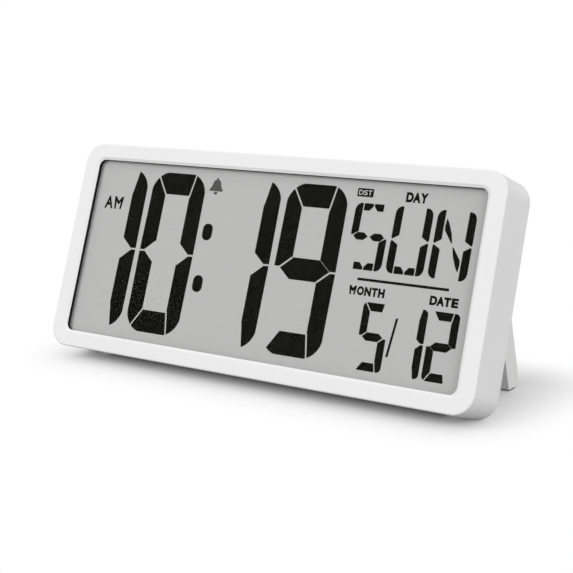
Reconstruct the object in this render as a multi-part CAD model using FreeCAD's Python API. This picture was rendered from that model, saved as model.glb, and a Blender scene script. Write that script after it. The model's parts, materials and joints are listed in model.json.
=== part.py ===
# Wide digital calendar clock with a fold-out rear stand. Millimetres, +Z up, the front faces -Y.
# The case is built upright, front face at y = 0 and underside at z = 0, and leaned back at the end.
import FreeCAD
import Part
import math
import os

# Case
case_width = 360.0
case_height = 158.0
case_depth = 38.0
corner_radius = 15.0
wall = 3.2
front_wall = 2.7
front_edge_radius = 1.2
rear_edge_radius = 3.0
# Window and the display stack behind it
bezel_side = 13.4
bezel_top = 12.3
lip_bevel = 2.0
lip_thickness = 1.5
window_radius = 5.6
lens_thickness = 1.2
lens_margin = 2.8
gasket_thickness = 1.4
glass_thickness = 0.8
glass_margin = 2.3
contact_ledge = 2.0
segment_thickness = 0.1
reflector_thickness = 0.3
carrier_thickness = 2.0
carrier_rib = 1.6
carrier_rib_height = 3.0
carrier_rib_count = 5
carrier_screw_rise = 40.0
carrier_tab_height = 9.0
# Rear cover
cover_thickness = 2.4
cover_gap = 0.25
boss_radius = 3.1
pilot_radius = 1.5
screw_radius = 1.35
screw_head_radius = 2.6
screw_head_height = 1.8
screw_head_chamfer = 0.5
head_recess_radius = 3.0
head_recess_depth = 5.6
tower_floor = 1.6
screw_length = 12.0
middle_screw_x = 60.0
end_screw_inset = 16.0
# Stand
stand_opening = 35.0
arm_inset = 28.5
arm_width = 7.0
arm_depth = 16.0
arm_clearance = 0.4
pivot_drop = 13.5
sole_overhang = 1.8
foot_radius = 6.5
cross_height = 16.0
cross_depth = 5.0
cross_raise = 16.0
heel_gap = 0.35
heel_setback = 5.0
cross_gap = 0.9
pin_radius = 2.0
pin_hole_gap = 0.06
pin_length = 13.0
channel_wall = 1.6
flush_gap = 0.2
relief_count = 4
relief_rib = 6.0
relief_skin = 2.4
grip_width = 46.0
grip_height = 11.0
grip_depth = 4.0
pad_thickness = 1.2
# Batteries and their bay
cell_radius = 7.1
cell_length = 49.2
nub_radius = 2.7
nub_height = 1.3
cell_pitch = 15.0
cell_count = 4
bay_centre_x = -62.0
bay_centre_z = 82.0
bay_wall = 1.6
spring_length = 5.0
contact_thickness = 0.4
bay_side_gap = 0.6
door_thickness = 2.0
door_gap = 0.3
door_foot_gap = 0.6
door_chamfer = 0.9
door_round = 0.5
door_shelf = 2.0
door_lug_width = 8.0
door_lug_length = 1.4
lug_half = 0.4
lug_play = 0.5
lug_pocket = 2.4
door_latch_width = 12.0
# Keys, switch and sounder on the rear cover
key_count = 5
key_pitch = 17.0
key_radius = 4.6
key_gap = 0.3
key_arm_space = 117.5
key_height_z = 95.0
key_travel = 0.8
key_stand_proud = 0.7
key_flange = 1.1
key_chamfer = 0.4
key_panel_depth = 1.0
key_panel_margin = 5.0
tact_size = 6.0
tact_height = 3.5
tact_button_radius = 1.7
tact_button_height = 1.0
slide_body_width = 11.0
slide_body_height = 7.0
key_board_left = 13.0
key_board_right = 7.0
key_board_height = 20.0
key_post_space = 9.0
key_post_rise = 6.0
board_thickness = 1.6
switch_pitch = 19.0
switch_travel = 4.0
switch_knob_width = 3.4
switch_knob_height = 5.0
switch_slot_gap = 0.5
sounder_radius = 13.5
sounder_thickness = 3.0
sounder_key_space = 42.0
sounder_z = 66.0
sounder_slot_width = 1.8
sounder_slot_pitch = 4.5
sounder_slot_count = 5
# Wall hangers
hanger_spacing = 220.0
hanger_z = 126.0
hanger_head_radius = 4.5
hanger_slot_radius = 2.2
hanger_slot_length = 9.0
# Boards and wires
main_board_height = 36.0
main_board_length = 250.0
main_board_z = 14.0
main_board_y = 12.0
strip_width = 2.0
strip_margin = 12.0
strip_overlap = 0.5
board_screw_inset = 8.0
board_screw_drop = 6.0
parts_rise = 14.0
socket_height = 4.0
socket_width = 10.0
socket_depth = 6.0
socket_places = (-0.416, 0.424)
chip_radius = 9.0
chip_sink = 7.0
chip_places = (-0.12, 0.192)
crystal_radius = 1.5
crystal_length = 8.0
crystal_place = 0.032
crystal_rise = 6.0
can_radius = 2.5
can_height = 4.5
can_places = (0.336, 0.376)
can_drop = 4.0
small_head_radius = 2.2
small_head_height = 1.4
small_shank_radius = 1.0
small_hole_radius = 1.3
small_screw_reach = 5.0
wire_radius = 0.7
ribbon_width = 12.0
ribbon_thickness = 0.5
ribbon_space = 2.0
ribbon_screw_gap = 8.0
ribbon_top_drop = 9.0
ribbon_end_drop = 3.0
ribbon_turn = 12.0
ribbon_joint = 8.0
wire_spacing = 3.0
wire_turn = 8.0
wire_end_rise = 10.0

rear = case_depth
mid_z = case_height / 2
window_width = case_width - 2 * bezel_side
window_height = case_height - 2 * bezel_top
lens_y = lip_thickness
gasket_y = lens_y + lens_thickness
glass_y = gasket_y + gasket_thickness
segment_y = glass_y + glass_thickness
rear_glass_y = segment_y + segment_thickness
reflector_y = rear_glass_y + glass_thickness
carrier_y = reflector_y + reflector_thickness
carrier_back = carrier_y + carrier_thickness
cover_y = rear - cover_thickness
pivot_y = rear - flush_gap - arm_depth / 2
pivot_height = case_height - pivot_drop
board_back = main_board_y + board_thickness
sole_reach = pivot_height + sole_overhang
arm_centre = case_width / 2 - arm_inset
key_first_x = arm_centre - key_arm_space
switch_x = key_first_x + key_pitch * (key_count - 1) + switch_pitch
sounder_x = key_first_x + sounder_key_space
channel_floor = pivot_y - arm_depth / 2 - heel_gap
door_y = rear - door_thickness
shelf_y = door_y - door_gap
bay_floor_y = shelf_y - 2 * cell_radius - bay_side_gap


def block(x0, x1, y0, y1, z0, z1):
    return Part.makeBox(x1 - x0, y1 - y0, z1 - z0, FreeCAD.Vector(x0, y0, z0))


def rod(radius, x, y0, y1, z):
    return Part.makeCylinder(radius, y1 - y0, FreeCAD.Vector(x, y0, z), FreeCAD.Vector(0, 1, 0))


def cross_rod(radius, x0, x1, y, z):
    return Part.makeCylinder(radius, x1 - x0, FreeCAD.Vector(x0, y, z), FreeCAD.Vector(1, 0, 0))


def outline(width, height, radius, y, cx=0.0, cz=mid_z):
    # Rounded rectangle facing along Y
    hw = width / 2
    hh = height / 2
    k = radius * math.sqrt(0.5)
    edges = []
    for sx, sz in ((1, 1), (-1, 1), (-1, -1), (1, -1)):
        ox = cx + sx * (hw - radius)
        oz = cz + sz * (hh - radius)
        side = FreeCAD.Vector(ox + sx * radius, y, oz)
        middle = FreeCAD.Vector(ox + sx * k, y, oz + sz * k)
        top = FreeCAD.Vector(ox, y, oz + sz * radius)
        ends = (side, top) if sx * sz > 0 else (top, side)
        edges.append((ends[0], Part.Arc(ends[0], middle, ends[1]).toShape(), ends[1]))
    path = []
    for index, (start, arc, end) in enumerate(edges):
        path.append(arc)
        path.append(Part.makeLine(end, edges[(index + 1) % 4][0]))
    return Part.Wire(path)


def plate(width, height, radius, y0, y1, cx=0.0, cz=mid_z):
    return Part.Face(outline(width, height, radius, y0, cx, cz)).extrude(FreeCAD.Vector(0, y1 - y0, 0))


def prism(points, y0, y1):
    # Straight-sided outline given as (x, z) points
    corners = [FreeCAD.Vector(x, y0, z) for x, z in points]
    return Part.Face(Part.makePolygon(corners + corners[:1])).extrude(FreeCAD.Vector(0, y1 - y0, 0))


def joined(shapes):
    return shapes[0].multiFuse(shapes[1:]).removeSplitter() if len(shapes) > 1 else shapes[0]


def cut(shape, tools):
    return shape.cut(Part.makeCompound(tools))


def edges_at_depth(shape, y):
    return [e for e in shape.Edges if abs(e.BoundBox.YMin - y) < 1e-4 and abs(e.BoundBox.YMax - y) < 1e-4]


# Screw places around the rim, as (x, z)
rim_inset = wall + boss_radius - 0.1
screw_places = [(sx * x, z) for x in (middle_screw_x, case_width / 2 - end_screw_inset)
                for sx in (-1, 1) for z in (rim_inset, case_height - rim_inset)]
boss_top = rear - head_recess_depth - tower_floor


def make_front_housing():
    body = plate(case_width, case_height, corner_radius, 0, rear)
    body = body.makeFillet(front_edge_radius, edges_at_depth(body, 0))
    body = body.makeFillet(rear_edge_radius, edges_at_depth(body, rear))
    inside = plate(case_width - 2 * wall, case_height - 2 * wall, corner_radius - wall, front_wall, rear)
    body = body.cut(inside)
    lens_seat = plate(window_width + 2 * lens_margin + 0.2, window_height + 2 * lens_margin + 0.2,
                      window_radius + lens_margin, lens_y, front_wall)
    opening = plate(window_width, window_height, window_radius, 0, lens_y)
    bevel_depth = lip_thickness - 0.3
    bevel = Part.makeLoft([
        outline(window_width + 2 * lip_bevel, window_height + 2 * lip_bevel, window_radius + lip_bevel, 0),
        outline(window_width, window_height, window_radius, bevel_depth)], True, True)
    body = cut(body, [lens_seat, opening, bevel])
    # Screw bosses grow from the front wall and merge into the rim
    for x, z in screw_places:
        boss = rod(boss_radius, x, front_wall - 0.5, boss_top, z)
        pilot = rod(pilot_radius, x, boss_top - screw_length, boss_top, z)
        body = body.fuse(boss).cut(pilot)
    # Carrier posts stand beside the glass at the four tabs
    for x, z in carrier_screws:
        post = rod(boss_radius, x, front_wall - 0.5, carrier_y, z)
        body = body.fuse(post).cut(rod(pilot_radius, x, front_wall + 0.4, carrier_y, z))
    # Both stand arms leave through slots in the underside
    slot = arm_width + 2 * arm_clearance + 2 * channel_wall + 2 * cover_gap
    slot_y = channel_floor - channel_wall - cover_gap
    for side in (-1, 1):
        x = side * arm_centre
        body = body.cut(block(x - slot / 2, x + slot / 2, slot_y, rear, 0, wall))
    return body


carrier_screws = [(sx * (case_width / 2 - wall - boss_radius + 0.1), z)
                  for sx in (-1, 1) for z in (mid_z - carrier_screw_rise, mid_z + carrier_screw_rise)]


def make_lens():
    return plate(window_width + 2 * lens_margin, window_height + 2 * lens_margin,
                 window_radius + lens_margin - 0.2, lens_y, gasket_y)


def make_gasket():
    outer = plate(window_width + 2 * glass_margin, window_height + 2 * glass_margin, window_radius,
                  gasket_y, glass_y)
    return outer.cut(plate(window_width, window_height, window_radius, gasket_y, glass_y))


def make_front_glass():
    height = window_height + 2 * glass_margin
    return plate(window_width + 2 * glass_margin, height, 1.0, glass_y, segment_y)


def make_rear_glass():
    # Shorter than the front glass, so that its contact ledge shows along the bottom
    height = window_height + 2 * glass_margin - contact_ledge
    centre = mid_z + contact_ledge / 2
    return plate(window_width + 2 * glass_margin, height, 1.0, rear_glass_y, reflector_y, 0.0, centre)


def make_reflector():
    height = window_height + 2 * glass_margin - contact_ledge
    centre = mid_z + contact_ledge / 2
    return plate(window_width + 2 * glass_margin, height, 1.0, reflector_y, carrier_y, 0.0, centre)


# Digits of the display: a rounded ring with two windows, cut apart by thin gaps
def digit_tools(width, height, stroke, bar, middle, gap, y0, y1):
    # Windows and gaps of one digit, with its lower left corner at the origin
    x0 = stroke
    x1 = width - stroke
    upper = (height / 2 + middle / 2, height - bar)
    lower = (bar, height / 2 - middle / 2)
    tools = [block(x0, x1, y0, y1, z0, z1) for z0, z1 in (upper, lower)]
    reach = bar * 1.3

    def gap_line(x, z, dx, dz):
        length = math.hypot(dx, dz)
        nx = -dz / length * gap / 2
        nz = dx / length * gap / 2
        ex = x + dx / length * reach
        ez = z + dz / length * reach
        bx = x - dx / length * gap
        bz = z - dz / length * gap
        return prism([(bx + nx, bz + nz), (ex + nx, ez + nz), (ex - nx, ez - nz), (bx - nx, bz - nz)], y0, y1)

    tools.append(gap_line(x0, upper[1], -0.62, 0.9))
    tools.append(gap_line(x1, upper[1], 0.2, 1.0))
    tools.append(gap_line(x0, lower[0], -0.62, -0.9))
    tools.append(gap_line(x1, lower[0], 0.2, -1.0))
    # The middle bar ends in points, and a level gap runs on to the sides
    tip = middle * 0.62
    for x, sign in ((x0, -1), (x1, 1)):
        for z in (upper[0], lower[1]):
            slope = height / 2 - z
            length = math.hypot(tip, slope)
            nx = slope / length * gap / 2
            nz = tip / length * gap / 2
            tx = x + sign * tip
            points = [(x - sign * nx, z - nz), (tx - sign * nx, height / 2 - nz),
                      (tx + sign * nx, height / 2 + nz), (x + sign * nx, z + nz)]
            if slope * sign > 0:
                points = [(x + sign * nx, z - nz), (tx + sign * nx, height / 2 - nz),
                          (tx - sign * nx, height / 2 + nz), (x - sign * nx, z + nz)]
            tools.append(prism(points, y0, y1))
        side = (0, x + sign * tip) if sign < 0 else (x + sign * tip, width)
        tools.append(block(side[0] - 0.01, side[1] + 0.01, y0, y1, height / 2 - gap / 2, height / 2 + gap / 2))
    return tools


def digit(left, top, width, height, stroke, bar, middle, gap, radius, lit, split=False):
    # The lit segments of one character: left edge from the case's left side, top from its top
    y0 = segment_y
    y1 = rear_glass_y
    ring = plate(width, height, radius, y0, y1, width / 2, height / 2)
    body = cut(ring, digit_tools(width, height, stroke, bar, middle, gap, y0, y1))
    centre = width / 2
    if split:
        # Sixteen-segment form: bars are parted at the centre, with a notch at each parting
        body = body.cut(block(centre - gap / 2, centre + gap / 2, y0, y1, 0, height))
        notch = bar * 0.5
        for z in (bar, height / 2 + middle / 2, height / 2 - middle / 2, height - bar):
            points = [(centre - notch, z), (centre, z + notch), (centre + notch, z), (centre, z - notch)]
            body = body.cut(prism(points, y0, y1))
    quarter = height / 4
    near = {"a": (centre, height - bar / 2), "d": (centre, bar / 2), "g": (centre, height / 2),
            "f": (stroke / 2, 3 * quarter), "b": (width - stroke / 2, 3 * quarter),
            "e": (stroke / 2, quarter), "c": (width - stroke / 2, quarter)}
    chosen = []
    for solid in body.Solids:
        c = solid.CenterOfMass
        name = min(near, key=lambda k: math.hypot(c.x - near[k][0], c.z - near[k][1]))
        if name in lit:
            chosen.append(solid)
    if "h" in lit:
        chosen.append(diagonal(width, height, stroke, bar, middle, gap, y0, y1, 1))
    if "m" in lit:
        chosen.append(diagonal(width, height, stroke, bar, middle, gap, y0, y1, -1))
    shift = FreeCAD.Vector(left - case_width / 2, 0, case_height - top - height)
    for solid in chosen:
        solid.translate(shift)
    return chosen


def diagonal(width, height, stroke, bar, middle, gap, y0, y1, sign):
    # Slim leaning stroke: upper left for sign 1, lower right for sign -1
    cx = width / 2
    cz = height / 2
    ax = -sign * (cx - stroke - gap)
    az = sign * (cz - bar - gap)
    bx = -sign * gap * 1.2
    bz = sign * (middle / 2)
    wide = stroke * 0.42
    points = [(ax, az), (ax + sign * wide * 0.5, az), (bx, bz + sign * wide), (bx, bz),
              (bx - sign * wide * 0.5, bz), (ax, az - sign * wide * 1.6)]
    return prism([(cx + x, cz + z) for x, z in points], y0, y1)


# The time fills the window from its left edge, and the calendar stands at its right edge
digit_height = 121.4
digit_stroke = 13.9
digit_bar = 16.8
digit_middle = 15.4
digit_gap = 1.3
digit_radius = 13.0
digit_top = 17.4
time_inset = -1.5
digit_space = 4.4
colon_space = 17.6
colon_width = 8.8
colon_height = 12.3
colon_tops = (53.2, 91.4)
day_width = 28.4
day_height = 45.4
day_top = 28.0
day_pitch = 31.6
day_stroke = 5.7
day_bar = 5.1
calendar_space = 6.45
calendar_margin = 7.45
date_width = 20.8
date_height = 45.2
date_top = 94.3
date_pitch = 23.1
date_stroke = 5.6
date_bar = 5.6
small_gap = 0.8
small_radius = 3.2
rule_inset = 11.35
rule_length = 69.0
rule_top = 79.0
rule_height = 1.4
slash_space = 7.2
slash_top = 102.4
slash_bottom = 128.3
slash_width = 1.7
slash_foot = 1.9
slash_lean = 3.2

calendar_width = 2 * day_pitch + day_width
calendar_left = case_width - bezel_side - calendar_margin - calendar_width
time_left = bezel_side + time_inset
digit_width = (calendar_left - calendar_space - time_left - colon_space - 2 * digit_space) / 4
digit_pitch = digit_width + digit_space
third_left = time_left + digit_pitch + digit_width + colon_space
digit_lefts = (time_left, time_left + digit_pitch, third_left, third_left + digit_pitch)
colon_x = third_left - colon_space / 2
day_lefts = (calendar_left, calendar_left + day_pitch, calendar_left + 2 * day_pitch)
last_left = calendar_left + calendar_width - date_width
month_left = last_left - date_pitch - slash_space - date_width
date_lefts = (month_left, last_left - date_pitch, last_left)
slash_left = month_left + date_width + slash_foot


def make_time_segments():
    # The display reads 10:19
    parts = []
    for left, lit in zip(digit_lefts, ("bc", "abcdef", "bc", "abcdfg")):
        parts += digit(left, digit_top, digit_width, digit_height, digit_stroke, digit_bar, digit_middle,
                       digit_gap, digit_radius, lit)
    for top in colon_tops:
        parts.append(plate(colon_width, colon_height, colon_width / 2 - 0.3, segment_y, rear_glass_y,
                           colon_x - case_width / 2, case_height - top - colon_height / 2))
    return Part.makeCompound(parts)


def make_calendar_segments():
    # The weekday in sixteen-segment characters over month and date in plain digits
    parts = []
    for left, lit in zip(day_lefts, ("afgcd", "fedcb", "febchm")):
        parts += digit(left, day_top, day_width, day_height, day_stroke, day_bar, day_bar,
                       small_gap, small_radius, lit, True)
    for left, lit in zip(date_lefts, ("afgcd", "bc", "abged")):
        parts += digit(left, date_top, date_width, date_height, date_stroke, date_bar, date_bar,
                       small_gap, small_radius, lit)
    half = case_width / 2
    rule_left = calendar_left + rule_inset - half
    parts.append(block(rule_left, rule_left + rule_length, segment_y, rear_glass_y,
                       case_height - rule_top - rule_height, case_height - rule_top))
    foot = slash_left - half
    head = foot + slash_lean
    corners = [(head, case_height - slash_top), (head + slash_width, case_height - slash_top),
               (foot + slash_width, case_height - slash_bottom), (foot, case_height - slash_bottom)]
    parts.append(prism(corners, segment_y, rear_glass_y))
    return Part.makeCompound(parts)


strip_length = main_board_length - 2 * strip_margin
strip_z = mid_z - window_height / 2 - glass_margin + contact_ledge / 2


def make_carrier():
    # Moulded tray behind the glass: a rim round the stack, cross ribs and four screw tabs
    width = window_width + 2 * glass_margin
    height = window_height + 2 * glass_margin
    tray = plate(width, height, 1.5, carrier_y, carrier_back)
    rib_back = carrier_back + carrier_rib_height
    ribs = [block(-width / 2 + 4, width / 2 - 4, carrier_back - 0.1, rib_back, z, z + carrier_rib)
            for z in (mid_z + height * 0.06, mid_z + height * 0.25)]
    pitch = width / (carrier_rib_count + 1)
    for i in range(carrier_rib_count):
        x = pitch * (i + 1) - width / 2 - carrier_rib / 2
        ribs.append(block(x, x + carrier_rib, carrier_back - 0.1, rib_back, mid_z - 6, mid_z + height / 2 - 6))
    tabs = []
    holes = []
    for x, z in carrier_screws:
        near = min(abs(x) - boss_radius - 2, width / 2 - 3) * (1 if x > 0 else -1)
        far = x + (boss_radius - 0.3) * (1 if x > 0 else -1)
        tabs.append(block(min(near, far), max(near, far), carrier_y, carrier_back,
                          z - carrier_tab_height / 2, z + carrier_tab_height / 2))
        holes.append(rod(pilot_radius + 0.1, x, carrier_y, carrier_back, z))
    posts = [rod(3.0, x, carrier_back - 0.1, main_board_y, z) for x, z in board_screws]
    pilots = [rod(1.1, x, carrier_back, main_board_y, z) for x, z in board_screws]
    slot = block(-strip_length / 2 - 0.3, strip_length / 2 + 0.3, carrier_y, carrier_back,
                 strip_z - strip_width / 2 - 0.3, strip_z + strip_width / 2 + 0.3)
    return cut(joined([tray] + ribs + tabs + posts), holes + pilots + [slot])


board_screw_z = main_board_z + main_board_height - board_screw_drop
inner_screw_x = key_first_x - ribbon_space + ribbon_screw_gap
board_screws = [(sx * x, board_screw_z) for x in (main_board_length / 2 - board_screw_inset, inner_screw_x)
                for sx in (-1, 1)]


def make_contact_strip():
    # Rubber strip that carries the contacts from the glass ledge back to the board
    return block(-strip_length / 2, strip_length / 2, segment_y, main_board_y,
                 strip_z - strip_width / 2, strip_z + strip_width / 2)


def make_main_board():
    z0 = strip_z - strip_width / 2 - strip_overlap
    board = block(-main_board_length / 2, main_board_length / 2, main_board_y, main_board_y + board_thickness,
                  z0, main_board_z + main_board_height)
    return cut(board, [rod(small_hole_radius, x, main_board_y, board_back, z) for x, z in board_screws])


def make_board_parts():
    # Sealed driver chips, timing crystal, smoothing cans and the two plug sockets
    z = main_board_z + parts_rise
    parts = []
    r = chip_radius
    for x in [main_board_length * k for k in chip_places]:
        blob = Part.makeSphere(r, FreeCAD.Vector(x, board_back - chip_sink, z))
        parts.append(blob.common(block(x - r, x + r, board_back, board_back + r, z - r, z + r)))
    x = main_board_length * crystal_place
    parts.append(cross_rod(crystal_radius, x - crystal_length / 2, x + crystal_length / 2,
                           board_back + crystal_radius, z + crystal_rise))
    parts += [rod(can_radius, main_board_length * k, board_back, board_back + can_height, z - can_drop)
              for k in can_places]
    parts += [plug_socket(x, z) for x in socket_xs]
    return Part.makeCompound(parts)


socket_xs = [main_board_length * k for k in socket_places]


def plug_socket(x, z):
    return block(x - socket_width / 2, x + socket_width / 2, board_back, board_back + socket_height,
                 z - socket_depth / 2, z + socket_depth / 2)


def make_board_screws():
    parts = []
    for x, z in board_screws:
        head = rod(small_head_radius, x, board_back, board_back + small_head_height, z)
        parts.append(head.fuse(rod(small_shank_radius, x, board_back - small_screw_reach, board_back, z)))
    return Part.makeCompound(parts)


def make_carrier_screws():
    parts = []
    for x, z in carrier_screws:
        head = rod(2.4, x, carrier_back, carrier_back + 1.4, z)
        parts.append(head.fuse(rod(screw_radius - 0.1, x, front_wall + 0.8, carrier_back, z)))
    return Part.makeCompound(parts)


# Rear cover with everything moulded into it
bay_length = cell_length + nub_height + spring_length + 2 * contact_thickness
bay_height = cell_pitch * cell_count
bay_x0 = bay_centre_x - bay_length / 2
bay_x1 = bay_centre_x + bay_length / 2
bay_z0 = bay_centre_z - bay_height / 2
bay_z1 = bay_centre_z + bay_height / 2
key_xs = [key_first_x + key_pitch * i for i in range(key_count)]
panel_x0 = key_first_x - key_radius - key_panel_margin
panel_x1 = switch_x + switch_travel + key_panel_margin
panel_z0 = key_height_z - key_radius - key_panel_margin
panel_z1 = key_height_z + key_radius + key_panel_margin
panel_y = rear - key_panel_depth
key_board_y = panel_y - cover_thickness - key_flange - key_travel - tact_height - 0.1 - board_thickness
channel_half = arm_width / 2 + arm_clearance
# The heel above each pivot meets the channel floor when the stand is fully open
heel_height = (arm_depth / 2 + heel_gap - 0.05 - heel_setback * math.cos(math.radians(stand_opening))) \
    / math.sin(math.radians(stand_opening))
cross_z0 = pivot_height - sole_reach + cross_raise
cross_z1 = cross_z0 + cross_height
cross_floor = rear - flush_gap - cross_depth - heel_gap


def make_rear_cover():
    inset = wall + cover_gap
    body = plate(case_width - 2 * inset, case_height - 2 * inset, corner_radius - inset, cover_y, rear)
    solid = []
    hollow = []
    # Arm channels run down from the pivots and out at the bottom edge
    top = pivot_height + max(heel_height, arm_depth / 2) + heel_gap
    for side in (-1, 1):
        x = side * arm_centre
        outer = channel_half + channel_wall
        solid.append(block(x - outer, x + outer, channel_floor - channel_wall, rear, inset, top + channel_wall))
        hollow.append(block(x - channel_half, x + channel_half, channel_floor, rear, 0, top))
        hollow.append(cross_rod(pin_radius, x - pin_length / 2, x + pin_length / 2, pivot_y, pivot_height))
        solid.append(cross_rod(pin_radius + channel_wall, x - pin_length / 2, x + pin_length / 2,
                               pivot_y, pivot_height))
    # Crossbar recess joins the channels, with a finger scoop above its middle
    reach = arm_centre - channel_half
    solid.append(block(-reach, reach, cross_floor - channel_wall, rear,
                       cross_z0 - cross_gap - channel_wall, cross_z1 + cross_gap + channel_wall))
    hollow.append(block(-reach - channel_wall, reach + channel_wall, cross_floor, rear,
                        cross_z0 - cross_gap, cross_z1 + cross_gap))
    scoop = plate(grip_width, 2 * grip_height, grip_height - 0.5, rear - grip_depth, rear, 0, cross_z1)
    solid.append(plate(grip_width + 2 * channel_wall, 2 * grip_height + 2 * channel_wall,
                       grip_height, rear - grip_depth - channel_wall, rear, 0, cross_z1))
    hollow.append(scoop)
    # Battery bay
    solid.append(block(bay_x0 - bay_wall, bay_x1 + bay_wall, bay_floor_y - bay_wall, rear,
                       bay_z0 - bay_wall, bay_z1 + bay_wall))
    hollow.append(block(bay_x0, bay_x1, bay_floor_y, rear, bay_z0, bay_z1))
    door = [bay_x0 - door_shelf, bay_x1 + door_shelf, bay_z0 - door_shelf, bay_z1 + door_shelf]
    solid.append(block(door[0] - bay_wall, door[1] + bay_wall, shelf_y - bay_wall, rear,
                       door[2] - bay_wall, door[3] + bay_wall))
    hollow.append(block(door[0], door[1], shelf_y, rear, door[2], door[3]))
    for x in door_lug_xs:
        hollow.append(block(x - door_lug_width / 2 - door_gap, x + door_lug_width / 2 + door_gap,
                            shelf_y - lug_pocket, door_y + 2 * lug_half + lug_play,
                            door[2] - lug_pocket, door[2] + lug_pocket))
        solid.append(block(x - door_lug_width / 2 - bay_wall, x + door_lug_width / 2 + bay_wall,
                           shelf_y - lug_pocket - bay_wall, rear, door[2] - lug_pocket - bay_wall, door[2]))
    latch = door_latch_width / 2 + 2
    hollow.append(plate(2 * latch, 14.0, 5.0, shelf_y, rear, bay_centre_x, door[3]))
    solid.append(plate(2 * latch + 2 * bay_wall, 14.0 + 2 * bay_wall, 5.0, shelf_y - bay_wall, rear,
                       bay_centre_x, door[3]))
    # Key panel, its guide holes and the switch slot
    solid.append(block(panel_x0 - 2, panel_x1 + 2, panel_y - cover_thickness, rear, panel_z0 - 2, panel_z1 + 2))
    hollow.append(plate(panel_x1 - panel_x0, panel_z1 - panel_z0, 4.0, panel_y, rear,
                        (panel_x0 + panel_x1) / 2, key_height_z))
    for x in key_xs:
        hollow.append(rod(key_radius + key_gap, x, panel_y - cover_thickness, panel_y, key_height_z))
    slot = switch_slot_gap
    hollow.append(block(switch_x - switch_knob_width / 2 - slot,
                        switch_x + switch_knob_width / 2 + switch_travel + slot,
                        panel_y - cover_thickness, panel_y,
                        key_height_z - switch_knob_height / 2 - slot, key_height_z + switch_knob_height / 2 + slot))
    # Posts for the key board
    posts = [rod(2.6, x, key_board_y + board_thickness, panel_y - cover_thickness + 0.1, z)
             for x, z in key_posts]
    solid += posts
    post_back = key_board_y + board_thickness + small_screw_reach
    hollow += [rod(small_shank_radius + 0.1, x, key_board_y, post_back, z) for x, z in key_posts]
    # Sounder cup and slots
    cup = rod(sounder_radius + channel_wall + 0.2, sounder_x, cover_y - sounder_thickness, cover_y + 0.1, sounder_z)
    cup_hole = rod(sounder_radius + 0.2, sounder_x, cover_y - sounder_thickness, cover_y, sounder_z)
    solid.append(cup.cut(cup_hole))
    first = -(sounder_slot_count - 1) / 2
    for i in range(sounder_slot_count):
        z = sounder_z + (first + i) * sounder_slot_pitch
        half = math.sqrt(max((sounder_radius - 2) ** 2 - (z - sounder_z) ** 2, 4.0))
        hollow.append(plate(2 * half, sounder_slot_width, sounder_slot_width / 2 - 0.05, cover_y, rear,
                            sounder_x, z))
    # Screw towers
    for x, z in screw_places:
        tower = rod(boss_radius + 0.6, x, boss_top, cover_y + 0.1, z)
        solid.append(tower.common(plate(case_width - 2 * inset, case_height - 2 * inset,
                                        corner_radius - inset, boss_top, rear)))
        hollow.append(rod(head_recess_radius, x, boss_top + tower_floor, rear, z))
        hollow.append(rod(pilot_radius + 0.1, x, boss_top, rear, z))
    # Keyholes for two wall screws
    for side in (-1, 1):
        x = side * hanger_spacing / 2
        hollow.append(rod(hanger_head_radius, x, cover_y, rear, hanger_z - hanger_slot_length))
        hollow.append(rod(hanger_slot_radius, x, cover_y, rear, hanger_z))
        hollow.append(block(x - hanger_slot_radius, x + hanger_slot_radius, cover_y, rear,
                            hanger_z - hanger_slot_length, hanger_z))
        hood = block(x - 8, x + 8, cover_y - 6, cover_y + 0.1, hanger_z - hanger_slot_length - 8, hanger_z + 6)
        hood_hole = block(x - 6.5, x + 6.5, cover_y - 4.6, cover_y,
                          hanger_z - hanger_slot_length - 6.5, hanger_z + 4.5)
        solid.append(hood.cut(hood_hole))
    body = joined([body] + solid)
    return cut(body, hollow)


key_posts = [(x - key_post_space, key_height_z + dz) for x in (key_first_x, switch_x)
             for dz in (-key_post_rise, key_post_rise)]
door_lug_xs = (bay_centre_x - 18, bay_centre_x + 18)


def make_battery_door():
    gap = door_gap
    x0 = bay_x0 - door_shelf + gap
    x1 = bay_x1 + door_shelf - gap
    z0 = bay_z0 - door_shelf + door_foot_gap
    z1 = bay_z1 + door_shelf - gap
    door = block(x0, x1, door_y, rear, z0, z1)
    # The foot of the door is cut back, so that it clears the cover as it tips
    door = door.makeChamfer(door_chamfer, [e for e in edges_at_depth(door, rear)
                                           if e.BoundBox.ZMax < z0 + 0.01])
    door = door.makeFillet(door_round, [e for e in edges_at_depth(door, rear) if e.BoundBox.ZMax > z1 - 0.01])
    # Two lugs with round ends, about which the door tips out
    lug_z = z0 - door_lug_length + lug_half
    lugs = []
    for x in door_lug_xs:
        a = x - door_lug_width / 2
        b = x + door_lug_width / 2
        lugs.append(block(a, b, door_y, door_y + 2 * lug_half, lug_z, z0 + 0.5))
        lugs.append(cross_rod(lug_half, a, b, door_y + lug_half, lug_z))
    ribs = [block(x, x + 1.2, door_y - 0.2, door_y + 0.1, z0 + 6, z1 - 8) for x in (x0 + 4, x1 - 5.2)]
    w = door_latch_width / 2
    tongue = block(bay_centre_x - w, bay_centre_x + w, door_y, rear - 0.6, z1 - 0.5, z1 + 5.2)
    grips = [block(bay_centre_x - w + 1, bay_centre_x + w - 1, rear - 0.7, rear - 0.1, z1 + k, z1 + k + 0.7)
             for k in (0.9, 2.4, 3.9)]
    return joined([door] + lugs + [tongue] + grips)


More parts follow.
